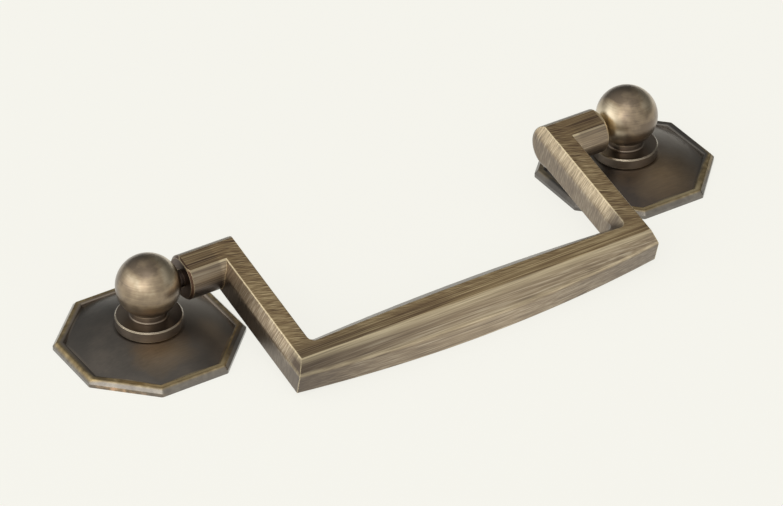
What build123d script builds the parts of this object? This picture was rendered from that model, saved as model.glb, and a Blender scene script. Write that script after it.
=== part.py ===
import os
from math import asin, atan2, cos, hypot, isclose, pi, sin, sqrt

from build123d import *

os.makedirs("parts", exist_ok=True)

# Drop pull for a drawer: two octagonal backplates, two ball posts and a swinging bail.
# The backs of the plates lie on the XY plane, +Z points out of the drawer front,
# the pivot line runs along X and the bail reaches towards -Y.

# Fixing and pivot line
hole_centres = 96.0
pivot_height = 10.16

# Backplate
plate_across_flats = 29.86
plate_edge_height = 0.65
plate_corner_round = 0.5
rim_bevel_width = 0.6
rim_height = 1.35
rim_crest_width = 1.1
rim_crest_round = 0.35
rim_step_width = 0.35
field_corner_height = 0.65
field_crown_height = 3.37
field_dome_rise = 0.25
field_seat_margin = 0.4
back_boss_diameter = 10.0
back_relief_diameter = 19.0
back_relief_depth = 0.8

# Ball post, turned in one piece
ball_diameter = 10.88
ball_height = 11.04
foot_diameter = 6.2
foot_fillet = 0.3
collar_diameter = 11.37
collar_thickness = 2.0
collar_chamfer = 0.18
spigot_diameter = 5.0
spigot_setback = 0.2
spigot_clearance = 0.05
tapped_hole_diameter = 3.3
tapped_hole_depth = 6.6

# Pivot pins, pressed into the bail and free to turn in the balls
pin_diameter = 3.0
pin_clearance = 0.05
pin_past_centre = 2.0
pin_end_play = 0.5
pin_socket_depth = 6.0
pin_end_chamfer = 0.3

# Bail section: a flat front land, a sloping flank on each side, upright sides, a flat back
land_height = 3.42
bail_thickness = 6.3
flank_depth = 2.18
ridge_round = 1.2
land_round = 0.25
land_round_swell = 0.6
underside_round = 0.2

# Arms
arm_centre = 32.98
arm_land_width = 3.31
arm_flank_width = 1.0

# Grip, square to the arms at its ends and swelling towards the middle
grip_reach = 25.0
grip_land_width = 2.32
grip_flank_width = 1.71
front_swell = 2.0
foot_swell = 2.38
back_swell = 1.3
land_front_swell = 0.13
land_back_swell = 0.8
inner_corner_round = 1.2
inner_corner_overlap = 0.8
grip_overrun = 1.0
grip_stations = 3

# Stubs that carry the pivot pins
stub_diameter = 7.75
stub_end_gap = 0.7
stub_end_chamfer = 0.4
stub_back_round = 1.0

# At rest the grip lies on the mounting face with this much room under it
rest_gap = 0.06

# Positions worked out from the sizes above
underside_level = land_height - bail_thickness
ridge_level = land_height - flank_depth
arm_land_inner = arm_centre - arm_land_width / 2
arm_land_outer = arm_centre + arm_land_width / 2
arm_inner = arm_land_inner - arm_flank_width
arm_outer = arm_land_outer + arm_flank_width
grip_land_back = grip_reach - grip_land_width / 2
grip_land_front = grip_reach + grip_land_width / 2
grip_back = grip_land_back - grip_flank_width
grip_front = grip_land_front + grip_flank_width
stub_end = hole_centres / 2 - ball_diameter / 2 - stub_end_gap
post_x = hole_centres / 2

# Droop at which the lower front edge of the grip comes down on the mounting face
rest_v = grip_front + foot_swell - underside_round
rest_w = -underside_level - underside_round
rest_drop = pivot_height - rest_gap - underside_round
droop = asin(rest_drop / hypot(rest_v, rest_w)) - atan2(rest_w, rest_v)

pivot = Vector(0, 0, pivot_height)
reach = Vector(0, -cos(droop), -sin(droop))
forward = Vector(0, -sin(droop), cos(droop))
across = Vector(1, 0, 0)

# Crowned field of the backplate: a turned dome with a flat seat for the collar,
# carried on to the corners of the octagon that the rim encloses
plate_apothem = plate_across_flats / 2
crest_outer_apothem = plate_apothem - rim_bevel_width
crest_inner_apothem = crest_outer_apothem - rim_crest_width
step_foot_apothem = crest_inner_apothem - rim_step_width
field_corner_radius = crest_inner_apothem / cos(pi / 8)
seat_radius = collar_diameter / 2 + field_seat_margin
dome_mid_radius = (seat_radius + field_corner_radius) / 2
dome_mid_height = (field_crown_height + field_corner_height) / 2 + field_dome_rise

with BuildPart() as field:
    with BuildSketch(Plane.XZ):
        with BuildLine():
            seat = Line((0, field_crown_height), (seat_radius, field_crown_height))
            dome_corner = (field_corner_radius, field_corner_height)
            dome = ThreePointArc(seat @ 1, (dome_mid_radius, dome_mid_height), dome_corner)
            Polyline(dome @ 1, (field_corner_radius, 0), (0, 0), seat @ 0)
        make_face()
    revolve(axis=Axis.Z)
    with BuildSketch():
        RegularPolygon(crest_inner_apothem, 8, major_radius=False, rotation=22.5)
    extrude(amount=field_crown_height, mode=Mode.INTERSECT)

with BuildPart() as plate:
    # Upright edge, then a bevel up to the crest of the rim
    with BuildSketch() as outline:
        RegularPolygon(plate_apothem, 8, major_radius=False, rotation=22.5)
        fillet(outline.vertices(), plate_corner_round)
    extrude(amount=plate_edge_height)
    with BuildSketch(Plane.XY.offset(plate_edge_height)) as bevel_foot:
        RegularPolygon(plate_apothem, 8, major_radius=False, rotation=22.5)
        fillet(bevel_foot.vertices(), plate_corner_round)
    with BuildSketch(Plane.XY.offset(rim_height)) as bevel_crest:
        RegularPolygon(crest_outer_apothem, 8, major_radius=False, rotation=22.5)
        fillet(bevel_crest.vertices(), plate_corner_round)
    loft()
    # Inside of the rim, sloping down to the field
    with BuildSketch(Plane.XY.offset(rim_height)):
        RegularPolygon(crest_inner_apothem, 8, major_radius=False, rotation=22.5)
    with BuildSketch():
        RegularPolygon(step_foot_apothem, 8, major_radius=False, rotation=22.5)
    loft(mode=Mode.SUBTRACT)
    fillet(plate.edges().group_by(Axis.Z)[-1], rim_crest_round)
    add(field.part)
    # Hole for the post's spigot and a relieved back around its boss
    with BuildSketch():
        Circle(spigot_diameter / 2 + spigot_clearance)
    extrude(amount=field_crown_height, mode=Mode.SUBTRACT)
    with BuildSketch():
        Circle(back_relief_diameter / 2)
        Circle(back_boss_diameter / 2, mode=Mode.SUBTRACT)
    extrude(amount=back_relief_depth, mode=Mode.SUBTRACT)

with BuildPart() as backplate_left:
    with Locations((-post_x, 0, 0)):
        add(plate.part)

with BuildPart() as backplate_right:
    with Locations((post_x, 0, 0)):
        add(plate.part)

# Ball post: spigot, collar, foot and ball in one turning, with the pivot bore facing +X
ball_radius = ball_diameter / 2
foot_radius = foot_diameter / 2
collar_top = field_crown_height + collar_thickness
foot_top = ball_height - sqrt(ball_radius**2 - foot_radius**2)
foot_height = foot_top - collar_top

with BuildPart() as post:
    with BuildSketch(Plane.XZ):
        with BuildLine():
            stem = Polyline(
                (0, spigot_setback),
                (spigot_diameter / 2, spigot_setback),
                (spigot_diameter / 2, field_crown_height),
                (collar_diameter / 2, field_crown_height),
                (collar_diameter / 2, collar_top),
                (foot_radius, collar_top),
                (foot_radius, foot_top),
            )
            ball = ThreePointArc(stem @ 1, (ball_radius, ball_height), (0, ball_height + ball_radius))
            Line(ball @ 1, stem @ 0)
        make_face()
    revolve(axis=Axis.Z)
    rings = post.edges().filter_by(GeomType.CIRCLE)
    chamfer(rings.filter_by(lambda ring: isclose(ring.radius, collar_diameter / 2)), collar_chamfer)
    rings = post.edges().filter_by(GeomType.CIRCLE)
    foot_edges = rings.filter_by(lambda ring: isclose(ring.radius, foot_radius))
    fillet(foot_edges.sort_by(Axis.Z)[0], min(foot_fillet, foot_height / 2))
    with BuildSketch(Plane.XY.offset(spigot_setback)):
        Circle(tapped_hole_diameter / 2)
    extrude(amount=tapped_hole_depth, mode=Mode.SUBTRACT)
    with BuildSketch(Plane.YZ.offset(-pin_past_centre - pin_end_play)):
        with Locations((0, pivot_height)):
            Circle(pin_diameter / 2 + pin_clearance)
    extrude(amount=ball_diameter, mode=Mode.SUBTRACT)

with BuildPart() as ball_post_left:
    with Locations((-post_x, 0, 0)):
        add(post.part)

with BuildPart() as ball_post_right:
    mirror(ball_post_left.part, about=Plane.YZ)

with BuildPart() as pivot_pin_left:
    pin_tip = pivot - across * (post_x + pin_past_centre)
    with BuildSketch(Plane(pin_tip, x_dir=reach, z_dir=across)):
        Circle(pin_diameter / 2)
    extrude(amount=post_x + pin_past_centre - stub_end + pin_socket_depth)
    chamfer(pivot_pin_left.edges().filter_by(GeomType.CIRCLE), pin_end_chamfer)

with BuildPart() as pivot_pin_right:
    mirror(pivot_pin_left.part, about=Plane.YZ)

# The bail is one casting. In its own frame u runs along the pivot line, v reaches out to
# the grip and w points forward from the pivot line.

# Stub on the right: a round bar with a turned end, its front level with the land of the
# bail, and the inner flank of the arm carried across its inner end
with BuildPart() as stub:
    with BuildSketch(Plane(pivot + across * arm_inner, x_dir=reach, z_dir=across)):
        Circle(stub_diameter / 2)
    extrude(amount=stub_end - arm_inner)
    fillet(stub.edges().sort_by(Axis.X)[0], stub_back_round)
    chamfer(stub.edges().sort_by(Axis.X)[-1], stub_end_chamfer)
    with BuildSketch(Plane(pivot - reach * stub_diameter, x_dir=across, z_dir=reach)) as stub_side:
        with BuildLine():
            Polyline(
                (arm_inner, -stub_diameter),
                (stub_end, -stub_diameter),
                (stub_end, land_height),
                (arm_land_inner, land_height),
                (arm_inner, ridge_level),
                close=True,
            )
        make_face()
        fillet(stub_side.vertices().group_by(Axis.Y)[1], ridge_round)
    extrude(amount=2 * stub_diameter, mode=Mode.INTERSECT)
    socket_floor = pivot + across * (stub_end - pin_socket_depth)
    with BuildSketch(Plane(socket_floor, x_dir=reach, z_dir=across)):
        Circle(pin_diameter / 2)
    extrude(amount=pin_socket_depth, mode=Mode.SUBTRACT)


def swell_at(u):
    # Share of the full swell at a distance u from the middle of the grip
    return 1 - (u / arm_outer) ** 2


# Where the inner faces of arm and grip meet, from the back of the bail to its front
corner_back = grip_back - back_swell * swell_at(arm_inner)
corner_land = grip_land_back - land_back_swell * swell_at(arm_land_inner)
inner_corner_levels = (
    (underside_level, arm_inner + underside_round, corner_back + underside_round),
    (underside_level + underside_round, arm_inner, corner_back),
    (ridge_level, arm_inner, corner_back),
    (land_height, arm_land_inner, corner_land),
)

with BuildPart() as bail:
    # Grip lofted through sections that swell towards the middle, where the front edge of the
    # land is softest
    for station in range(-grip_stations, grip_stations + 1):
        u = station / grip_stations * (arm_outer + grip_overrun)
        section_back = grip_back - back_swell * swell_at(u)
        section_front = grip_front + front_swell * swell_at(u)
        section_foot = grip_front + foot_swell * swell_at(u)
        with BuildSketch(Plane(pivot + across * u, x_dir=reach, z_dir=-across)) as section:
            with BuildLine():
                Polyline(
                    (section_back, underside_level),
                    (section_foot, underside_level),
                    (section_front, ridge_level),
                    (grip_land_front + land_front_swell * swell_at(u), land_height),
                    (grip_land_back - land_back_swell * swell_at(u), land_height),
                    (section_back, ridge_level),
                    close=True,
                )
            make_face()
            fillet(section.vertices().group_by(Axis.Y)[1], ridge_round)
            fillet(section.vertices().group_by(Axis.Y)[0], underside_round)
            fillet(section.vertices().group_by(Axis.Y)[-1].sort_by(Axis.X)[0], land_round)
            front_round = land_round + land_round_swell * swell_at(u)
            fillet(section.vertices().group_by(Axis.Y)[-1].sort_by(Axis.X)[-1], front_round)
    loft()
    # The ends of the grip are mitred to the outer flanks and sides of the arms
    with BuildSketch(Plane(pivot + reach * (grip_back / 2), x_dir=across, z_dir=reach)) as span:
        with BuildLine():
            Polyline(
                (-arm_outer, underside_level),
                (arm_outer, underside_level),
                (arm_outer, ridge_level),
                (arm_land_outer, land_height),
                (-arm_land_outer, land_height),
                (-arm_outer, ridge_level),
                close=True,
            )
        make_face()
        fillet(span.vertices().group_by(Axis.Y)[1], ridge_round)
        fillet(span.vertices().group_by(Axis.Y)[0], underside_round)
        fillet(span.vertices().group_by(Axis.Y)[-1], land_round)
    extrude(amount=grip_front + foot_swell, mode=Mode.INTERSECT)
    # Arms from the pivot line to the middle of the grip's land
    for side in (-1, 1):
        with BuildSketch(Plane(pivot, x_dir=across, z_dir=reach)) as arm:
            with BuildLine():
                Polyline(
                    (side * arm_inner, underside_level),
                    (side * arm_outer, underside_level),
                    (side * arm_outer, ridge_level),
                    (side * arm_land_outer, land_height),
                    (side * arm_land_inner, land_height),
                    (side * arm_inner, ridge_level),
                    close=True,
                )
            make_face()
            fillet(arm.vertices().group_by(Axis.Y)[1], ridge_round)
            fillet(arm.vertices().group_by(Axis.Y)[0], underside_round)
            fillet(arm.vertices().group_by(Axis.Y)[-1], land_round)
        extrude(amount=grip_reach)
    add(stub.part)
    mirror(stub.part, about=Plane.YZ)
    # Rounded inner corners between the arms and the grip, lofted from back to front
    for side in (-1, 1):
        for level, corner_u, corner_v in inner_corner_levels:
            level_plane = Plane(pivot + forward * level, x_dir=across * side, z_dir=forward * -side)
            with BuildSketch(level_plane):
                with BuildLine():
                    near_arm = (corner_u, corner_v - inner_corner_round)
                    near_grip = (corner_u - inner_corner_round, corner_v)
                    hollow = inner_corner_round * (1 - sqrt(0.5))
                    ThreePointArc(near_arm, (corner_u - hollow, corner_v - hollow), near_grip)
                    Polyline(
                        near_grip,
                        (corner_u - inner_corner_round, corner_v + inner_corner_overlap),
                        (corner_u + inner_corner_overlap, corner_v + inner_corner_overlap),
                        (corner_u + inner_corner_overlap, corner_v - inner_corner_round),
                        near_arm,
                    )
                make_face()
        loft(ruled=True)

backplate_left.part.label = "backplate_left"
backplate_right.part.label = "backplate_right"
ball_post_left.part.label = "ball_post_left"
ball_post_right.part.label = "ball_post_right"
pivot_pin_left.part.label = "pivot_pin_left"
pivot_pin_right.part.label = "pivot_pin_right"
bail.part.label = "bail"

export_step(backplate_left.part, "parts/backplate_left.step")
export_step(backplate_right.part, "parts/backplate_right.step")
export_step(ball_post_left.part, "parts/ball_post_left.step")
export_step(ball_post_right.part, "parts/ball_post_right.step")
export_step(pivot_pin_left.part, "parts/pivot_pin_left.step")
export_step(pivot_pin_right.part, "parts/pivot_pin_right.step")
export_step(bail.part, "parts/bail.step")
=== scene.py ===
import math

import bpy
import bmesh
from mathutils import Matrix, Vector

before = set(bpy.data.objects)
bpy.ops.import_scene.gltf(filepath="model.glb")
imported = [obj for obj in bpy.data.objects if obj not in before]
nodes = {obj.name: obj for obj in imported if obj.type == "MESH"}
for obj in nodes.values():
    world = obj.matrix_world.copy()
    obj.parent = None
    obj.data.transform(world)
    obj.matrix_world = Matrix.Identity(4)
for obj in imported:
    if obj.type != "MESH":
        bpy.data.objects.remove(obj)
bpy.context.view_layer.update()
print("frame loaded with", len(nodes), "nodes")


def hexColour(code):
    # sRGB hex to the linear values that Blender mixes
    values = []
    for i in (1, 3, 5):
        c = int(code[i:i + 2], 16) / 255
        values.append(c / 12.92 if c <= 0.04045 else ((c + 0.055) / 1.055) ** 2.4)
    return (*values, 1.0)


def addNode(tree, kind, inputs=None, stops=None, **settings):
    # one node: its settings, its values and links by socket, and a ramp's colours by position
    # a Mix node has its factor at 0, numbers at 2 and 3, colours at 6 and 7
    node = tree.nodes.new(kind)
    for name, value in settings.items():
        setattr(node, name, value)
    for socket, value in (inputs or {}).items():
        if isinstance(value, bpy.types.Node):
            value = next(output for output in value.outputs if output.enabled)
        if isinstance(value, bpy.types.NodeSocket):
            tree.links.new(value, node.inputs[socket])
        else:
            node.inputs[socket].default_value = value
    for i, (position, code) in enumerate((stops or {}).items()):
        elements = node.color_ramp.elements
        stop = elements[i] if i < 2 else elements.new(position)
        stop.position = position
        stop.color = hexColour(code)
    return node


def freshMaterial(name):
    made = bpy.data.materials.new(name)
    made.use_nodes = True
    made.node_tree.nodes.clear()
    return made, made.node_tree


def wear(node, material):
    # the finish goes in the node's slots, its mesh stays as it is
    node.data.materials.clear()
    node.data.materials.append(material)


def sharpEdges(tree, width):
    # 1 where the surface turns sharply within the width in mm, 0 on an open face
    shape = addNode(tree, "ShaderNodeNewGeometry")
    softened = addNode(tree, "ShaderNodeBevel", {"Radius": width / 1000}, samples=8)
    turn = addNode(tree, "ShaderNodeVectorMath", {
        0: shape.outputs["Normal"], 1: softened}, operation="DOT_PRODUCT")
    # cosines of turns of about 10 and 26 degrees
    return addNode(tree, "ShaderNodeMapRange", {"Value": turn, "From Min": 0.985, "From Max": 0.90})


# bail: cast brass, browned, then brushed along the grip, aslant over the arms and across their flanks
bail = {
    "pivotHeight": 10.16,           # mm
    "droop": 14.06,                 # degrees below level
    "landLevel": 3.42,              # front land above the pivot line, mm
    "ridgeLevel": 1.24,             # where the flanks turn into the sides
    "armOuter": 35.64,              # mm from the middle
    "stubEnd": 41.86,
    "gripBack": 22.1,               # mm from the pivot line
    "innerCorner": (30.5, -21.4, 0.0),
    "marks": {                      # brush marks of two kinds each: share of the second kind, then
                                    # degrees from the pivot line and size along x, y and z in mm
        "lengthwise": (0.4, (-1, (16.0, 0.18, 0.18)), (1, (60.0, 0.4, 0.4))),
        "aslant": (0.45, (-15, (3.0, 0.2, 0.2)), (-23, (4.0, 0.16, 0.16))),
        "crossways": (0.45, (8, (2.2, 0.19, 2.2)), (0, (3.0, 0.15, 3.0))),
    },
    "grooveDepth": 0.03,            # mm
    "cloudSize": 8.333,             # mm, slow change of tone over the casting
    "cloudShare": 0.12,
    "armTones": (-0.02, 0.012),     # change of tone beside the stubs and farther down the arms
    "gripTone": -0.012,
    "brownBreaks": 0.9,             # how far the brush marks break the brown up
    "sharesFrom": 30.0,             # mm from the middle, from here on the side shares below hold
    "sideShares": {                 # share of brown on the left side and on the right one: patina low down and painted shade, heavier on the left
        "armSide": (0.78, 0.52),
        "paintedShadeUnderStub": (1.0, 0.35),
        "stub": (0.45, 0.18),
    },
    "brownElsewhere": 0.15,         # low down on the other sides
    "gripEnd": (-36.0, -4.0),       # mm along the grip: painted shade in brown at its left end, fading from there on
    "paintedShadeGripEnd": 0.88,
    "paintedShadeGripSides": (0.2, 0.7),   # painted shade on the grip's upright sides, in the middle and at the ends
    # painted shade in brown: on faces turned back, in the inner corners, beside the left stub and low on the
    # left stub
    "paintedShadeBack": 0.85,
    "paintedShadeInnerCorner": 0.9,
    "paintedShadeBesideLeftStub": 0.6,
    "paintedShadeLeftStubSide": 0.95,
    "edgeWidth": 0.32,              # mm
    "paintedRidgeHighlight": 0.45,            # painted highlights, besides the rubbed sharp edges
    "paintedShoulderHighlight": 0.65,
    "paintedRightFlankLight": 0.34,
    "paleBreaks": (0.4, 0.85),    # share made pale between the brush marks and on them, on rubbed edges and painted highlights
    "gloss": (0.46, 0.36),          # roughness between the brush marks and on them
    "lacquer": 0.7,
    "lacquerRoughness": 0.35,
    "land": {0.38: "#573f2c", 0.50: "#9f8560", 0.62: "#dfc89c"},
    "flank": {0.36: "#7d6e5e", 0.50: "#ad997f", 0.64: "#dccdb4"},
    "brown": "#4d4036",
    "stubEndsPaintedShadeAndLight": ("#4f3420", "#c0ab86"),     # left, right: the left end painted in shade, the right end painted light so that its reflection in the ball is pale
    # pale of the rubbed edges and of the painted highlights
    "lightened": "#ecdbb6",
}


def bailBrass():
    # browned brass, brushed and lacquered: fine pale lines through the brown, pale edges, brown low down as
    # patina and painted shade, painted highlights along the grip and on the right arm's flank
    made, tree = freshMaterial("brownedBrushedBrass")
    place = addNode(tree, "ShaderNodeTexCoord")
    droop = math.radians(bail["droop"])
    own = addNode(tree, "ShaderNodeMapping", {
        "Vector": place.outputs["Object"],
        "Location": (0, 0, bail["pivotHeight"] / 1000),
        "Rotation": (droop, 0, 0),
        "Scale": (0.001, 0.001, 0.001)}, vector_type="TEXTURE")
    axes = addNode(tree, "ShaderNodeSeparateXYZ", {"Vector": own})
    x, y, level = (axes.outputs[axis] for axis in "XYZ")
    fromMiddle = addNode(tree, "ShaderNodeMath", {0: x}, operation="ABSOLUTE")
    # which way the surface faces: out of the land, or along the pivot line
    outward = addNode(tree, "ShaderNodeVectorMath", {
        0: place.outputs["Normal"], 1: (0, -math.sin(droop), math.cos(droop))}, operation="DOT_PRODUCT")
    facing = addNode(tree, "ShaderNodeSeparateXYZ", {"Vector": place.outputs["Normal"]})
    sideways = addNode(tree, "ShaderNodeMath", {0: facing.outputs["X"]}, operation="ABSOLUTE")
    # masks, 1 on that part of the bail and 0 off it, from places in mm and facings as cosines
    landLevel, armOuter = bail["landLevel"], bail["armOuter"]
    onLand = addNode(tree, "ShaderNodeMapRange", {"Value": outward, "From Min": 0.93, "From Max": 0.99})
    offLand = addNode(tree, "ShaderNodeMapRange", {"Value": onLand, "To Min": 1.0, "To Max": 0.0})
    onArmSide = addNode(tree, "ShaderNodeMapRange", {"Value": sideways, "From Min": 0.5, "From Max": 0.7})
    onGrip = addNode(tree, "ShaderNodeMapRange", {
        "Value": y, "From Min": -bail["gripBack"], "From Max": -bail["gripBack"] - 3.0})
    onStub = addNode(tree, "ShaderNodeMapRange", {
        "Value": fromMiddle, "From Min": armOuter, "From Max": armOuter + 0.6})
    nearStub = addNode(tree, "ShaderNodeMapRange", {
        "Value": fromMiddle, "From Min": armOuter - 2.5, "From Max": armOuter})
    onLeft = addNode(tree, "ShaderNodeMath", {0: x, 1: 0.0}, operation="LESS_THAN")
    onRight = addNode(tree, "ShaderNodeMath", {0: x, 1: 0.0}, operation="GREATER_THAN")
    # brush marks, each kind a noise drawn out along its strokes
    marks = {}
    for name, (secondShare, *kinds) in bail["marks"].items():
        strokes = []
        for angle, size in kinds:
            drawn = addNode(tree, "ShaderNodeMapping", {
                "Vector": own, "Rotation": (0, 0, math.radians(angle)), "Scale": size}, vector_type="TEXTURE")
            strokes.append(addNode(tree, "ShaderNodeTexNoise", {
                "Vector": drawn, "Scale": 1.0, "Detail": 2.0, "Roughness": 0.6}))
        marks[name] = addNode(tree, "ShaderNodeMix", {0: secondShare, 2: strokes[0], 3: strokes[1]})
    alongPivot = addNode(tree, "ShaderNodeMath", {0: onGrip, 1: nearStub}, operation="MAXIMUM")
    brushed = addNode(tree, "ShaderNodeMix", {0: alongPivot, 2: marks["aslant"], 3: marks["lengthwise"]})
    brushed = addNode(tree, "ShaderNodeMix", {0: onArmSide, 2: brushed, 3: marks["crossways"]})
    cloud = addNode(tree, "ShaderNodeTexNoise", {
        "Vector": own, "Scale": 1 / bail["cloudSize"], "Detail": 2.0, "Roughness": 0.5})
    tone = addNode(tree, "ShaderNodeMix", {0: bail["cloudShare"], 2: brushed, 3: cloud})
    besideStub, fartherDown = bail["armTones"]
    armTone = addNode(tree, "ShaderNodeMapRange", {
        "Value": y, "From Min": -3.0, "From Max": -11.0, "To Min": besideStub, "To Max": fartherDown})
    tone = addNode(tree, "ShaderNodeMath", {0: tone, 1: armTone}, operation="ADD")
    tone = addNode(tree, "ShaderNodeMath", {
        0: onGrip, 1: bail["gripTone"], 2: tone}, operation="MULTIPLY_ADD")
    landTone = addNode(tree, "ShaderNodeValToRGB", {"Fac": tone}, bail["land"])
    flankTone = addNode(tree, "ShaderNodeValToRGB", {"Fac": tone}, bail["flank"])
    faces = addNode(tree, "ShaderNodeMix", {0: onLand, 6: flankTone, 7: landTone}, data_type="RGBA")
    # brown is kept low on the arm sides as patina and painted shade, and under the stubs as painted shade,
    # broken up by the brush
    leftToRight = {}
    for name, (left, right) in bail["sideShares"].items():
        leftToRight[name] = addNode(tree, "ShaderNodeMapRange", {
            "Value": x, "From Min": -bail["sharesFrom"], "From Max": bail["sharesFrom"],
            "To Min": left, "To Max": right})
    low = addNode(tree, "ShaderNodeMapRange", {
        "Value": level, "From Min": landLevel - 0.8, "From Max": bail["ridgeLevel"] - 1.2, "To Max": 1.1})
    patchy = addNode(tree, "ShaderNodeMath", {
        0: brushed, 1: -bail["brownBreaks"], 2: low}, operation="MULTIPLY_ADD")
    patchy = addNode(tree, "ShaderNodeMath", {
        0: patchy, 1: bail["brownBreaks"] / 2}, operation="ADD", use_clamp=True)
    lowOnArm = addNode(tree, "ShaderNodeMath", {
        0: leftToRight["armSide"], 1: onArmSide}, operation="MULTIPLY")
    paintedShadeUnderStub = addNode(tree, "ShaderNodeMath", {
        0: leftToRight["paintedShadeUnderStub"], 1: onStub}, operation="MULTIPLY")
    keeps = addNode(tree, "ShaderNodeMath", {0: lowOnArm, 1: paintedShadeUnderStub}, operation="MAXIMUM")
    keeps = addNode(tree, "ShaderNodeMapRange", {"Value": keeps, "To Min": bail["brownElsewhere"]})
    brownAndPaintedShade = addNode(tree, "ShaderNodeMath", {0: patchy, 1: keeps}, operation="MULTIPLY")
    # brown is laid on too: painted shade at the grip's left end, on its upright sides, on faces turned back,
    # in the inner corners,
    # on the left arm beside its stub and low on the left stub; and more brown on the stubs, the left one most
    # painted shade at the grip's left end and on its upright sides towards the ends
    start, stop = bail["gripEnd"]
    gripEnd = addNode(tree, "ShaderNodeMapRange", {
        "Value": x, "From Min": start, "From Max": stop, "To Min": bail["paintedShadeGripEnd"], "To Max": 0.0})
    thinOnLand = addNode(tree, "ShaderNodeMapRange", {"Value": onLand, "To Min": 1.0, "To Max": 0.6})
    upright = addNode(tree, "ShaderNodeMapRange", {"Value": outward, "From Min": 0.45, "From Max": 0.2})
    inMiddle, atEnds = bail["paintedShadeGripSides"]
    towardsEnds = addNode(tree, "ShaderNodeMapRange", {
        "Value": fromMiddle, "From Min": 6.0, "From Max": 34.0, "To Min": inMiddle, "To Max": atEnds})
    # painted shade on faces turned back
    behind = addNode(tree, "ShaderNodeMapRange", {
        "Value": facing.outputs["Y"], "From Min": 0.1, "From Max": 0.5, "To Max": bail["paintedShadeBack"]})
    # painted shade in the inner corners
    flat = addNode(tree, "ShaderNodeCombineXYZ", {"X": fromMiddle, "Y": y})
    away = addNode(tree, "ShaderNodeVectorMath", {0: flat, 1: bail["innerCorner"]}, operation="DISTANCE")
    inCorner = addNode(tree, "ShaderNodeMapRange", {
        "Value": away, "From Min": 0.5, "From Max": 3.4, "To Min": bail["paintedShadeInnerCorner"], "To Max": 0.0})
    littleOnLand = addNode(tree, "ShaderNodeMapRange", {"Value": onLand, "To Min": 1.0, "To Max": 0.2})
    inCorner = addNode(tree, "ShaderNodeMath", {0: inCorner, 1: littleOnLand}, operation="MULTIPLY")
    # painted shade on the left arm beside its stub and low on the left stub
    besideLeftStub = addNode(tree, "ShaderNodeMapRange", {
        "Value": y, "From Min": -4.0, "From Max": -17.0,
        "To Min": bail["paintedShadeBesideLeftStub"], "To Max": 0.0})
    stubSide = addNode(tree, "ShaderNodeMapRange", {
        "Value": level, "From Min": landLevel - 1.0, "From Max": 0.3, "To Max": bail["paintedShadeLeftStubSide"]})
    for share, masks in (
            (gripEnd, (onGrip, thinOnLand)),
            (leftToRight["stub"], (onStub, thinOnLand)),
            (upright, (towardsEnds, onGrip)),
            (behind, ()),
            (inCorner, ()),
            (besideLeftStub, (onLeft, onArmSide)),
            (stubSide, (onStub, onLeft))):
        for mask in masks:
            share = addNode(tree, "ShaderNodeMath", {0: share, 1: mask}, operation="MULTIPLY")
        brownAndPaintedShade = addNode(tree, "ShaderNodeMath", {0: brownAndPaintedShade, 1: share}, operation="MAXIMUM")
    shaded = addNode(tree, "ShaderNodeMix", {
        0: brownAndPaintedShade, 6: faces, 7: hexColour(bail["brown"])}, data_type="RGBA")
    # the turned ends of the stubs: the left painted in shade, the right painted light so that its reflection
    # in the ball is pale
    atStubEnd = addNode(tree, "ShaderNodeMapRange", {
        "Value": fromMiddle, "From Min": bail["stubEnd"] - 0.5, "From Max": bail["stubEnd"] - 0.35})
    leftEnd, rightEnd = bail["stubEndsPaintedShadeAndLight"]
    ends = addNode(tree, "ShaderNodeMix", {
        0: onRight, 6: hexColour(leftEnd), 7: hexColour(rightEnd)}, data_type="RGBA")
    shaded = addNode(tree, "ShaderNodeMix", {0: atStubEnd, 6: shaded, 7: ends}, data_type="RGBA")
    # pale where faces meet sharply and round the land, where the edges are rubbed; painted highlights along
    # the grip's ridge and below its land, and painted light on the right arm's flank
    turned = addNode(tree, "ShaderNodeMapRange", {"Value": outward, "From Min": 0.99, "From Max": 0.93})
    nearLand = addNode(tree, "ShaderNodeMapRange", {
        "Value": level, "From Min": landLevel - 0.26, "From Max": landLevel - 0.1})
    lessOnStub = addNode(tree, "ShaderNodeMapRange", {"Value": onStub, "To Min": 1.0, "To Max": 0.4})
    fromRidge = addNode(tree, "ShaderNodeMath", {0: level, 1: bail["ridgeLevel"]}, operation="SUBTRACT")
    fromRidge = addNode(tree, "ShaderNodeMath", {0: fromRidge}, operation="ABSOLUTE")
    # painted highlight along the grip's ridge
    ridge = addNode(tree, "ShaderNodeMapRange", {
        "Value": fromRidge, "From Min": 0.45, "From Max": 0.05, "To Max": bail["paintedRidgeHighlight"]})
    # painted highlight below the land on the grip
    shoulder = addNode(tree, "ShaderNodeMapRange", {
        "Value": level, "From Min": landLevel - 0.95, "From Max": landLevel - 0.2,
        "To Max": bail["paintedShoulderHighlight"]})
    # painted light on the upper right arm's flank
    rightFlank = addNode(tree, "ShaderNodeMapRange", {
        "Value": level, "From Min": 0.9, "From Max": 2.3, "To Max": bail["paintedRightFlankLight"]})
    edges = sharpEdges(tree, bail["edgeWidth"])
    for share, masks in (
            (turned, (nearLand, lessOnStub)),
            (ridge, (onGrip,)),
            (shoulder, (offLand, onGrip)),
            (rightFlank, (onArmSide, onRight))):
        for mask in masks:
            share = addNode(tree, "ShaderNodeMath", {0: share, 1: mask}, operation="MULTIPLY")
        edges = addNode(tree, "ShaderNodeMath", {0: edges, 1: share}, operation="MAXIMUM")
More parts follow.
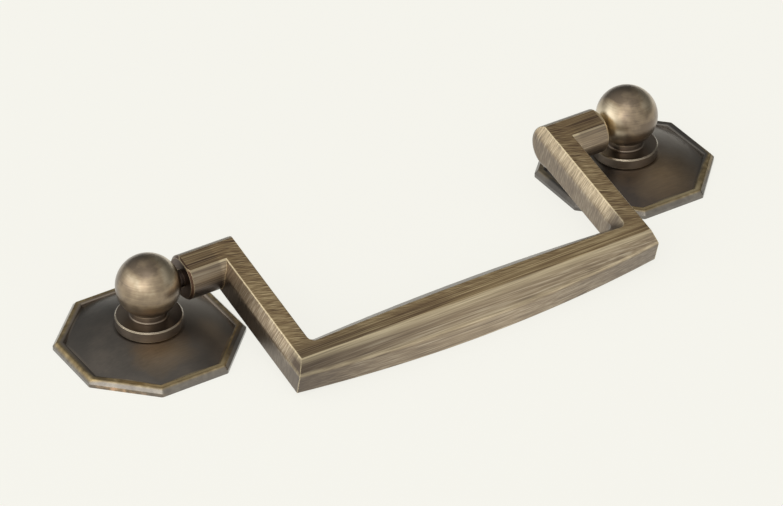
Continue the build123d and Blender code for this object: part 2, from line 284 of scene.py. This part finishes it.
    # the brush breaks them up, and they are held back on faces turned back and in the inner corners, where
    # shade is painted
    between, onMarks = bail["paleBreaks"]
    broken = addNode(tree, "ShaderNodeMapRange", {
        "Value": brushed, "From Min": 0.35, "From Max": 0.6, "To Min": between, "To Max": onMarks})
    paintedShadeAreas = addNode(tree, "ShaderNodeMath", {0: behind, 1: inCorner}, operation="MAXIMUM")
    outsidePaintedShade = addNode(tree, "ShaderNodeMapRange", {"Value": paintedShadeAreas, "To Min": 1.0, "To Max": 0.15})
    for mask in (broken, outsidePaintedShade):
        edges = addNode(tree, "ShaderNodeMath", {0: edges, 1: mask}, operation="MULTIPLY")
    lightened = addNode(tree, "ShaderNodeMix", {
        0: edges, 6: shaded, 7: hexColour(bail["lightened"])}, data_type="RGBA")
    between, onMarks = bail["gloss"]
    gloss = addNode(tree, "ShaderNodeMapRange", {
        "Value": brushed, "From Min": 0.3, "From Max": 0.7, "To Min": between, "To Max": onMarks})
    grooves = addNode(tree, "ShaderNodeBump", {
        "Height": brushed, "Strength": 0.25, "Distance": bail["grooveDepth"] / 1000})
    shader = addNode(tree, "ShaderNodeBsdfPrincipled", {
        "Base Color": lightened, "Metallic": 1.0, "Roughness": gloss, "Normal": grooves,
        "Coat Weight": bail["lacquer"], "Coat Roughness": bail["lacquerRoughness"]})
    addNode(tree, "ShaderNodeOutputMaterial", {"Surface": shader})
    return made


wear(nodes["bail"], bailBrass())
print("bail finished")

# posts: one brass turning each, browned and rubbed back with a soft wheel; a highlight is painted on the
# right ball beside its stub
post = {
    "centre": 48.0,                     # mm from the middle
    "collarTop": 5.37,                  # mm above the mounting face
    "ringMark": (8.333, 8.333, 0.14),   # mm along x, y and z, turning marks round the post
    "rubMark": (4.0, 4.0, 0.2),         # mm, broader stray marks among them
    "rubTurn": (0.5, 0.9, 0.3),         # radians, so that their noise is not that of the rings
    "grooveDepth": 0.03,                # mm
    "cloudSize": 3.333,                 # mm, slow change of tone
    "cloudShare": 0.72,
    "postTones": (-0.02, 0.13),         # change of tone on the left post and on the right one
    "paintedShadeTurnedAway": -0.2,            # painted shade on the right post where it faces away from its stub
    # painted shade where the balls turn to the back
    "paintedShadeBehind": -0.19,
    "paintedLightByFacing": (                        # painted shade and light on both balls by which way they face: facing up from and to,
                                        # facing right from and to, change of tone
        ((0.72, 0.88), (0.25, -0.05), -0.14),
        ((0.35, 0.05), (-0.8, -0.35), -0.12),
        ((0.30, 0.60), (0.0, 0.35), 0.25),
        ((0.45, 0.62), (-0.5, -0.65), 0.12),
    ),
    "collarBrown": 0.8,
    "edgeWidth": 0.32,                  # mm
    "rightStub": (42.9, 0.0, 10.16),    # mm, end of the stub beside which a highlight is painted on the right ball
    "besideStub": 0.5,                  # share of painted highlight there
    "gloss": (0.33, 0.2),               # roughness on the faces and on the rubbed edges
    "lacquer": 0.65,
    "lacquerRoughness": 0.35,
    "tones": {0.30: "#726353", 0.50: "#9e8c74", 0.70: "#c8b9a0"},
    "brown": "#71655b",
    # pale of the rubbed edges and of the painted highlight beside the stub
    "lightened": "#f2e6cc",
}


def postBrass():
    # browned brass, turned, rubbed and lacquered: a satin sheen with faint rings, browner on the collar, and
    # painted light and shade on the balls
    made, tree = freshMaterial("satinTurnedBrass")
    place = addNode(tree, "ShaderNodeTexCoord")
    millimetres = addNode(tree, "ShaderNodeMapping", {
        "Vector": place.outputs["Object"], "Scale": (1000, 1000, 1000)})
    axes = addNode(tree, "ShaderNodeSeparateXYZ", {"Vector": millimetres})
    facing = addNode(tree, "ShaderNodeSeparateXYZ", {"Vector": place.outputs["Normal"]})
    facingRight, facingBack, facingUp = (facing.outputs[axis] for axis in "XYZ")
    onRight = addNode(tree, "ShaderNodeMath", {0: axes.outputs["X"], 1: 0.0}, operation="GREATER_THAN")
    rings = addNode(tree, "ShaderNodeMapping", {
        "Vector": millimetres, "Scale": post["ringMark"]}, vector_type="TEXTURE")
    ringMarks = addNode(tree, "ShaderNodeTexNoise", {
        "Vector": rings, "Scale": 1.0, "Detail": 2.0, "Roughness": 0.55})
    stray = addNode(tree, "ShaderNodeMapping", {
        "Vector": millimetres, "Rotation": post["rubTurn"], "Scale": [1 / size for size in post["rubMark"]]})
    rubMarks = addNode(tree, "ShaderNodeTexNoise", {
        "Vector": stray, "Scale": 1.0, "Detail": 2.0, "Roughness": 0.55, "Distortion": 0.4})
    marks = addNode(tree, "ShaderNodeMix", {0: 0.5, 2: ringMarks, 3: rubMarks})
    cloud = addNode(tree, "ShaderNodeTexNoise", {
        "Vector": millimetres, "Scale": 1 / post["cloudSize"], "Detail": 3.0, "Roughness": 0.55})
    tone = addNode(tree, "ShaderNodeMix", {0: post["cloudShare"], 2: marks, 3: cloud})
    left, right = post["postTones"]
    postTone = addNode(tree, "ShaderNodeMix", {0: onRight, 2: left, 3: right})
    # painted shade where the surface faces back
    behind = addNode(tree, "ShaderNodeMapRange", {
        "Value": facingBack, "From Min": -0.1, "From Max": 0.25, "To Max": post["paintedShadeBehind"]})
    for change in (postTone, behind):
        tone = addNode(tree, "ShaderNodeMath", {0: tone, 1: change}, operation="ADD")
    # painted shade on the right post where it faces away from its stub
    paintedShadeAway = addNode(tree, "ShaderNodeMapRange", {
        "Value": facingRight, "From Min": -0.8, "From Max": -0.57, "To Max": post["paintedShadeTurnedAway"]})
    tone = addNode(tree, "ShaderNodeMath", {0: onRight, 1: paintedShadeAway, 2: tone}, operation="MULTIPLY_ADD")
    # painted shade on the balls' tops and low down, painted light on their upper right and upper left, by
    # facing
    for (upFrom, upTo), (rightFrom, rightTo), change in post["paintedLightByFacing"]:
        upShare = addNode(tree, "ShaderNodeMapRange", {
            "Value": facingUp, "From Min": upFrom, "From Max": upTo})
        patch = addNode(tree, "ShaderNodeMapRange", {
            "Value": facingRight, "From Min": rightFrom, "From Max": rightTo, "To Max": change})
        tone = addNode(tree, "ShaderNodeMath", {0: upShare, 1: patch, 2: tone}, operation="MULTIPLY_ADD")
    tones = addNode(tree, "ShaderNodeValToRGB", {"Fac": tone}, post["tones"])
    # the foot of the ball and the collar stay brown
    onCollar = addNode(tree, "ShaderNodeMapRange", {
        "Value": axes.outputs["Z"], "From Min": post["collarTop"] + 1.8, "From Max": post["collarTop"] + 0.8,
        "To Max": post["collarBrown"]})
    shaded = addNode(tree, "ShaderNodeMix", {
        0: onCollar, 6: tones, 7: hexColour(post["brown"])}, data_type="RGBA")
    # sharp edges are rubbed pale, and a highlight is painted on the right ball beside its stub
    edges = sharpEdges(tree, post["edgeWidth"])
    away = addNode(tree, "ShaderNodeVectorMath", {
        0: millimetres, 1: post["rightStub"]}, operation="DISTANCE")
    besideStub = addNode(tree, "ShaderNodeMapRange", {
        "Value": away, "From Min": 3.2, "From Max": 5.0, "To Min": post["besideStub"], "To Max": 0.0})
    paleEdgesAndPaintedLight = addNode(tree, "ShaderNodeMath", {0: edges, 1: besideStub}, operation="MAXIMUM")
    lightened = addNode(tree, "ShaderNodeMix", {
        0: paleEdgesAndPaintedLight, 6: shaded, 7: hexColour(post["lightened"])}, data_type="RGBA")
    onFaces, onEdges = post["gloss"]
    gloss = addNode(tree, "ShaderNodeMapRange", {"Value": edges, "To Min": onFaces, "To Max": onEdges})
    grooves = addNode(tree, "ShaderNodeBump", {
        "Height": marks, "Strength": 0.05, "Distance": post["grooveDepth"] / 1000})
    shader = addNode(tree, "ShaderNodeBsdfPrincipled", {
        "Base Color": lightened, "Metallic": 1.0, "Roughness": gloss, "Normal": grooves,
        "Coat Weight": post["lacquer"], "Coat Roughness": post["lacquerRoughness"]})
    addNode(tree, "ShaderNodeOutputMaterial", {"Surface": shader})
    return made


postFinish = postBrass()
for name in ("ball_post_left", "ball_post_right"):
    wear(nodes[name], postFinish)
print("posts finished")

# backplates: cast brass, deeply browned, the rim rubbed back to gold
plate = {
    "bevelInside": 14.33,               # mm from the middle to each flat
    "crestInside": 13.23,
    "edgeHeight": 0.65,
    "brushMark": (3.333, 0.25, 0.25),   # mm along x, y and z
    "grooveDepth": 0.03,                # mm
    "cloudSize": 5.0,                   # mm, slow change of tone
    "cloudShare": 0.7,
    "mottleSize": 1.429,                # mm, uneven tone of the rim
    "spots": {                          # x, y and reach in mm
        # painted sheen: the field lightened in front of each collar
        "lightened": ((-49.0, -6.2, 6.2), (50.5, -7.5, 9.0)),
        # painted shade: dull spots below the bail's arms and on the right plate's far flat
        "dullAndPaintedShade": ((-36.8, -9.5, 7.0), (62.5, 3.0, 10.0), (33.5, -1.0, 11.0)),
        "copper": ((-58.6, -10.6, 7.0),),
    },
    "spotHeight": 1.5,                  # mm
    "paintedShadeSpotsFrom": (13.58, 13.23, 13.6),   # mm from the middle of the plate, for each spot of painted shade
    "behindShare": 0.95,                # painted sheen: lighter field behind the post and at the right end of each plate
    "rightEndShare": 0.35,
    "frontLeftShare": 0.8,              # painted shade: darker field at the front left of the right plate
    "goldWider": 0.45,                  # mm that the gold reaches farther in, at the front
    "rimNarrower": (0.3, 0.4),          # mm, at the outer end of the left plate and of the right one
    # painted highlight on the crest of the foremost flat
    "paintedCrestHighlightShare": 0.9,
    "edgeBrown": 0.5,
    "roughness": 0.40,
    "lacquer": 1.0,
    "lacquerRoughness": 0.35,
    "field": {0.30: "#413b36", 0.50: "#4e4741", 0.70: "#5f564e"},
    "paintedFieldSheen": {0.30: "#6a573f", 0.50: "#866f52", 0.70: "#a18664"},
    # painted sheen on the field behind and at the right ends, painted shade at the front left of the right
    # plate
    "fieldBack": "#9f958b",
    "fieldFront": "#33241a",
    # foot of the rim: painted shade in front, painted light behind
    "creviceFront": "#3f362e",
    "creviceBack": ("#94877a", "#6b6661"),      # left plate, right plate
    "paintedCrestHighlight": "#e0cda2",
    # dull brown, for the upright edge and for the spots of painted shade
    "dullAndPaintedShade": "#544f4b",
    "crest": {0.30: "#7d6842", 0.50: "#a08a5e", 0.70: "#c4ae82"},
    "bevel": {0.30: "#766f68", 0.50: "#827b73", 0.70: "#918a80"},
    "copper": {0.40: "#6f5d47", 0.55: "#9b8262", 0.68: "#d3ab88"},
}


def plateBrass():
    # deeply browned brass under lacquer: dark field, golden crest, grey bevel, copper showing at one edge
    made, tree = freshMaterial("deepAntiqueBrass")
    place = addNode(tree, "ShaderNodeTexCoord")
    millimetres = addNode(tree, "ShaderNodeMapping", {
        "Vector": place.outputs["Object"], "Scale": (1000, 1000, 1000)})
    axes = addNode(tree, "ShaderNodeSeparateXYZ", {"Vector": millimetres})
    x, y, height = (axes.outputs[axis] for axis in "XYZ")
    onRight = addNode(tree, "ShaderNodeMath", {0: x, 1: 0.0}, operation="GREATER_THAN")
    # distance from the plate's middle, square to its nearest flat
    side = addNode(tree, "ShaderNodeMath", {0: x}, operation="SIGN")
    ownX = addNode(tree, "ShaderNodeMath", {0: side, 1: -post["centre"], 2: x}, operation="MULTIPLY_ADD")
    across = addNode(tree, "ShaderNodeMath", {0: ownX}, operation="ABSOLUTE")
    along = addNode(tree, "ShaderNodeMath", {0: y}, operation="ABSOLUTE")
    slanting = addNode(tree, "ShaderNodeMath", {0: across, 1: along}, operation="ADD")
    slanting = addNode(tree, "ShaderNodeMath", {0: slanting, 1: math.sqrt(0.5)}, operation="MULTIPLY")
    reach = addNode(tree, "ShaderNodeMath", {0: across, 1: along}, operation="MAXIMUM")
    reach = addNode(tree, "ShaderNodeMath", {0: reach, 1: slanting}, operation="MAXIMUM")
    brush = addNode(tree, "ShaderNodeMapping", {
        "Vector": millimetres, "Scale": plate["brushMark"]}, vector_type="TEXTURE")
    marks = addNode(tree, "ShaderNodeTexNoise", {
        "Vector": brush, "Scale": 1.0, "Detail": 3.0, "Roughness": 0.6, "Distortion": 0.5})
    cloud = addNode(tree, "ShaderNodeTexNoise", {
        "Vector": millimetres, "Scale": 1 / plate["cloudSize"], "Detail": 3.0, "Roughness": 0.55})
    mottle = addNode(tree, "ShaderNodeTexNoise", {
        "Vector": millimetres, "Scale": 1 / plate["mottleSize"], "Detail": 2.0, "Roughness": 0.5})
    tone = addNode(tree, "ShaderNodeMix", {0: plate["cloudShare"], 2: marks, 3: cloud})
    # spots with frayed edges, 1 in the middle of each
    spotShares = {}
    for kind, spots in plate["spots"].items():
        spotShares[kind] = []
        for spotX, spotY, size in spots:
            away = addNode(tree, "ShaderNodeVectorMath", {
                0: millimetres, 1: (spotX, spotY, plate["spotHeight"])}, operation="DISTANCE")
            frayed = addNode(tree, "ShaderNodeMath", {0: cloud, 1: size, 2: away}, operation="MULTIPLY_ADD")
            spotShares[kind].append(addNode(tree, "ShaderNodeMapRange", {
                "Value": frayed, "From Min": 0.7 * size, "From Max": 1.5 * size,
                "To Min": 1.0, "To Max": 0.0}))
    # field: dark, with painted sheen lighter behind and at the right end, painted shade darkest at the front
    # left of the right plate,
    # and painted sheen in brown in one spot in front of each collar
    dark = addNode(tree, "ShaderNodeValToRGB", {"Fac": tone}, plate["field"])
    behind = addNode(tree, "ShaderNodeMapRange", {
        "Value": y, "From Min": -11.0, "From Max": -1.0, "To Max": plate["behindShare"]})
    atEnd = addNode(tree, "ShaderNodeMapRange", {
        "Value": ownX, "From Min": 4.0, "From Max": 10.0, "To Max": plate["rightEndShare"]})
    lighter = addNode(tree, "ShaderNodeMath", {0: behind, 1: atEnd}, operation="MAXIMUM")
    rightward = addNode(tree, "ShaderNodeMapRange", {"Value": ownX, "From Min": -3.0, "From Max": 8.0})
    lighter = addNode(tree, "ShaderNodeMath", {0: lighter, 1: rightward}, operation="MULTIPLY")
    frontLeft = addNode(tree, "ShaderNodeMath", {0: ownX, 1: y}, operation="ADD")
    frontLeft = addNode(tree, "ShaderNodeMapRange", {
        "Value": frontLeft, "From Min": -6.0, "From Max": -12.0, "To Max": plate["frontLeftShare"]})
    frontLeft = addNode(tree, "ShaderNodeMath", {0: frontLeft, 1: onRight}, operation="MULTIPLY")
    leftSpot, rightSpot = spotShares["lightened"]
    paintedSheenShare = addNode(tree, "ShaderNodeMath", {0: leftSpot, 1: rightSpot}, operation="MAXIMUM")
    brown = addNode(tree, "ShaderNodeValToRGB", {"Fac": tone}, plate["paintedFieldSheen"])
    zone = dark
    for share, finish in (
            (lighter, hexColour(plate["fieldBack"])),
            (frontLeft, hexColour(plate["fieldFront"])),
            (paintedSheenShare, brown)):
        zone = addNode(tree, "ShaderNodeMix", {0: share, 6: zone, 7: finish}, data_type="RGBA")
    # foot of the rim: painted shade in front, painted light behind
    farther = addNode(tree, "ShaderNodeMath", {0: ownX, 1: 0.5, 2: y}, operation="MULTIPLY_ADD")
    farther = addNode(tree, "ShaderNodeMapRange", {"Value": farther, "From Min": -14.0, "From Max": 5.0})
    leftBack, rightBack = plate["creviceBack"]
    creviceBack = addNode(tree, "ShaderNodeMix", {
        0: onRight, 6: hexColour(leftBack), 7: hexColour(rightBack)}, data_type="RGBA")
    crevice = addNode(tree, "ShaderNodeMix", {
        0: farther, 6: hexColour(plate["creviceFront"]), 7: creviceBack}, data_type="RGBA")
    # crest: gold, with a painted highlight on the inner half of the foremost flat
    crest = addNode(tree, "ShaderNodeValToRGB", {"Fac": mottle}, plate["crest"])
    foremost = addNode(tree, "ShaderNodeMapRange", {
        "Value": y, "From Min": -11.5, "From Max": -13.5, "To Max": plate["paintedCrestHighlightShare"]})
    innerHalf = addNode(tree, "ShaderNodeMapRange", {
        "Value": reach, "From Min": plate["bevelInside"] - 0.1, "From Max": plate["bevelInside"] - 0.5})
    foremost = addNode(tree, "ShaderNodeMath", {0: foremost, 1: innerHalf}, operation="MULTIPLY")
    crest = addNode(tree, "ShaderNodeMix", {
        0: foremost, 6: crest, 7: hexColour(plate["paintedCrestHighlight"])}, data_type="RGBA")
    bevel = addNode(tree, "ShaderNodeValToRGB", {"Fac": mottle}, plate["bevel"])
    # how far in these zones reach: the rim looks narrower at the outer ends, the gold wider in front
    leftNarrower, rightNarrower = plate["rimNarrower"]
    narrower = addNode(tree, "ShaderNodeMapRange", {
        "Value": x, "From Min": 55.0, "From Max": 60.0, "To Max": rightNarrower})
    leftFlat = addNode(tree, "ShaderNodeMapRange", {
        "Value": x, "From Min": -59.0, "From Max": -61.5, "To Max": leftNarrower})
    withinFlat = addNode(tree, "ShaderNodeMapRange", {"Value": along, "From Min": 7.5, "From Max": 5.5})
    narrower = addNode(tree, "ShaderNodeMath", {
        0: leftFlat, 1: withinFlat, 2: narrower}, operation="MULTIPLY_ADD")
    rimReach = addNode(tree, "ShaderNodeMath", {0: reach, 1: narrower}, operation="SUBTRACT")
    inFront = addNode(tree, "ShaderNodeMapRange", {
        "Value": y, "From Min": -4.0, "From Max": -8.0, "To Max": plate["goldWider"]})
    goldReach = addNode(tree, "ShaderNodeMath", {0: rimReach, 1: inFront}, operation="ADD")
    for where, start, blend, finish in (
            (reach, plate["crestInside"] - 0.5, 0.5, crevice),
            (goldReach, plate["crestInside"] + 0.15, 0.6, crest),
            (rimReach, plate["bevelInside"] - 0.1, 0.35, bevel)):
        share = addNode(tree, "ShaderNodeMapRange", {
            "Value": where, "From Min": start, "From Max": start + blend})
        zone = addNode(tree, "ShaderNodeMix", {0: share, 6: zone, 7: finish}, data_type="RGBA")
    # spots of painted shade on the rim, below the bail's arms and on the right plate's far flat, then the
    # upright edge, browner and with a copper spot
    dullAndPaintedShade = hexColour(plate["dullAndPaintedShade"])
    for spot, start in zip(spotShares["dullAndPaintedShade"], plate["paintedShadeSpotsFrom"]):
        outer = addNode(tree, "ShaderNodeMapRange", {
            "Value": reach, "From Min": start, "From Max": start + 0.3})
        share = addNode(tree, "ShaderNodeMath", {0: spot, 1: outer}, operation="MULTIPLY")
        zone = addNode(tree, "ShaderNodeMix", {0: share, 6: zone, 7: dullAndPaintedShade}, data_type="RGBA")
    upright = addNode(tree, "ShaderNodeMapRange", {
        "Value": height, "From Min": plate["edgeHeight"] + 0.05, "From Max": plate["edgeHeight"] - 0.05})
    copper = addNode(tree, "ShaderNodeValToRGB", {"Fac": mottle}, plate["copper"])
    for share, finish in ((plate["edgeBrown"], dullAndPaintedShade), (spotShares["copper"][0], copper)):
        share = addNode(tree, "ShaderNodeMath", {0: upright, 1: share}, operation="MULTIPLY")
        zone = addNode(tree, "ShaderNodeMix", {0: share, 6: zone, 7: finish}, data_type="RGBA")
    grooves = addNode(tree, "ShaderNodeBump", {
        "Height": marks, "Strength": 0.08, "Distance": plate["grooveDepth"] / 1000})
    shader = addNode(tree, "ShaderNodeBsdfPrincipled", {
        "Base Color": zone, "Metallic": 1.0, "Roughness": plate["roughness"], "Normal": grooves,
        "Coat Weight": plate["lacquer"], "Coat Roughness": plate["lacquerRoughness"]})
    addNode(tree, "ShaderNodeOutputMaterial", {"Surface": shader})
    return made


plateFinish = plateBrass()
for name in ("backplate_left", "backplate_right"):
    wear(nodes[name], plateFinish)
print("backplates finished")

# pins: ground steel, dull from oil and lacquer in the joint
pin = {
    "ringMark": (0.08, 5.0, 5.0),       # mm along x, y and z, grinding marks round the pin
    "roughness": 0.35,
    "tones": {0.35: "#342d2a", 0.65: "#5c524c"},
}


def pinSteel():
    # ground steel: dark grey with fine rings round it
    made, tree = freshMaterial("groundSteel")
    place = addNode(tree, "ShaderNodeTexCoord")
    rings = addNode(tree, "ShaderNodeMapping", {
        "Vector": place.outputs["Object"], "Scale": [size / 1000 for size in pin["ringMark"]]},
        vector_type="TEXTURE")
    marks = addNode(tree, "ShaderNodeTexNoise", {
        "Vector": rings, "Scale": 1.0, "Detail": 2.0, "Roughness": 0.5})
    tones = addNode(tree, "ShaderNodeValToRGB", {"Fac": marks}, pin["tones"])
    shader = addNode(tree, "ShaderNodeBsdfPrincipled", {
        "Base Color": tones, "Metallic": 1.0, "Roughness": pin["roughness"]})
    addNode(tree, "ShaderNodeOutputMaterial", {"Surface": shader})
    return made


pinFinish = pinSteel()
for name in ("pivot_pin_left", "pivot_pin_right"):
    wear(nodes[name], pinFinish)
print("pins finished")

# studio: pale floor, a room that is light on the camera's left and dim behind, soft lamps
studio = {
    "pale": "#f7f6ef",
    "floorSize": 4.0,                   # m from the middle to each side
    "floorEven": 0.87,                  # share of its own even light, seen directly and in reflections
    "keySide": (-0.75, -0.45, 0.45),    # where the room is lightest
    "roomSpread": (-0.5, 0.9),          # cosines from there at which it is dim and light
    "roomDim": 0.13,
    "roomLight": 1.25,
    "lamps": {                          # distance and size in m
        "keySoftbox": {
            "towards": (-0.66, -0.55, 0.52), "distance": 1.1, "size": (0.6, 0.5), "radiance": 1.9},
        "leftSoftbox": {
            "towards": (-0.92, 0.20, 0.30), "distance": 1.0, "size": (0.8, 0.5), "radiance": 0.9},
        "overSoftbox": {
            "towards": (-0.25, -0.30, 0.92), "distance": 1.1, "size": (0.5, 0.5), "radiance": 0.8},
    },
}


def paleFloor():
    # matt pale board: evenly pale to the eye and in the metal, with a soft shadow under the pull
    made, tree = freshMaterial("paleFloor")
    pale = hexColour(studio["pale"])
    rays = addNode(tree, "ShaderNodeLightPath")
    seen = rays.outputs["Is Camera Ray"]
    for kind in ("Is Glossy Ray", "Is Transmission Ray"):
        seen = addNode(tree, "ShaderNodeMath", {0: seen, 1: rays.outputs[kind]}, operation="MAXIMUM")
    share = addNode(tree, "ShaderNodeMath", {0: seen, 1: studio["floorEven"]}, operation="MULTIPLY")
    matt = addNode(tree, "ShaderNodeBsdfDiffuse", {"Color": pale})
    lit = addNode(tree, "ShaderNodeEmission", {"Color": pale, "Strength": 1.0})
    both = addNode(tree, "ShaderNodeMixShader", {0: share, 1: matt, 2: lit})
    addNode(tree, "ShaderNodeOutputMaterial", {"Surface": both})
    return made


floorForm = bmesh.new()
bmesh.ops.create_grid(floorForm, x_segments=1, y_segments=1, size=studio["floorSize"])
floorMesh = bpy.data.meshes.new("floor")
floorForm.to_mesh(floorMesh)
floorForm.free()
floorMesh.materials.append(paleFloor())
floor = bpy.data.objects.new("floor", floorMesh)
bpy.context.scene.collection.objects.link(floor)

for name, lamp in studio["lamps"].items():
    data = bpy.data.lights.new(name, "AREA")
    data.shape = "RECTANGLE"
    data.size, data.size_y = lamp["size"]
    data.energy = lamp["radiance"] * math.pi * lamp["size"][0] * lamp["size"][1]
    towards = Vector(lamp["towards"]).normalized()
    made = bpy.data.objects.new(name, data)
    made.location = towards * lamp["distance"]
    made.rotation_mode = "QUATERNION"
    made.rotation_quaternion = (-towards).to_track_quat("-Z", "Y")
    bpy.context.scene.collection.objects.link(made)

room = bpy.data.worlds.new("room")
room.use_nodes = True
tree = room.node_tree
tree.nodes.clear()
rays = addNode(tree, "ShaderNodeLightPath")
around = addNode(tree, "ShaderNodeTexCoord")
towardsKey = addNode(tree, "ShaderNodeVectorMath", {
    0: around.outputs["Generated"], 1: Vector(studio["keySide"]).normalized()}, operation="DOT_PRODUCT")
dimFrom, lightFrom = studio["roomSpread"]
level = addNode(tree, "ShaderNodeMapRange", {
    "Value": towardsKey, "From Min": dimFrom, "From Max": lightFrom,
    "To Min": studio["roomDim"], "To Max": studio["roomLight"]})
strength = addNode(tree, "ShaderNodeMix", {0: rays.outputs["Is Camera Ray"], 2: level, 3: 1.0})
sky = addNode(tree, "ShaderNodeBackground", {"Color": hexColour(studio["pale"]), "Strength": strength})
addNode(tree, "ShaderNodeOutputWorld", {"Surface": sky})
bpy.context.scene.world = room
print("studio lit")

# camera: long lens from the front left, fitted to the photograph's view
shot = {
    "place": (-316.275, -489.896, 406.041),     # mm
    "turn": (55.1263, -0.2679, -32.6130),       # degrees about x, y and z
    "lens": 191.602,                            # mm
    "sensor": 36.0,
}
cameraData = bpy.data.cameras.new("camera")
cameraData.sensor_width = shot["sensor"]
cameraData.lens = shot["lens"]
cameraData.clip_start = 0.01
cameraData.clip_end = 50.0
camera = bpy.data.objects.new("camera", cameraData)
camera.location = Vector(shot["place"]) / 1000
camera.rotation_euler = [math.radians(angle) for angle in shot["turn"]]
bpy.context.scene.collection.objects.link(camera)
bpy.context.scene.camera = camera
bpy.context.scene.view_settings.view_transform = "Standard"
print("camera placed")
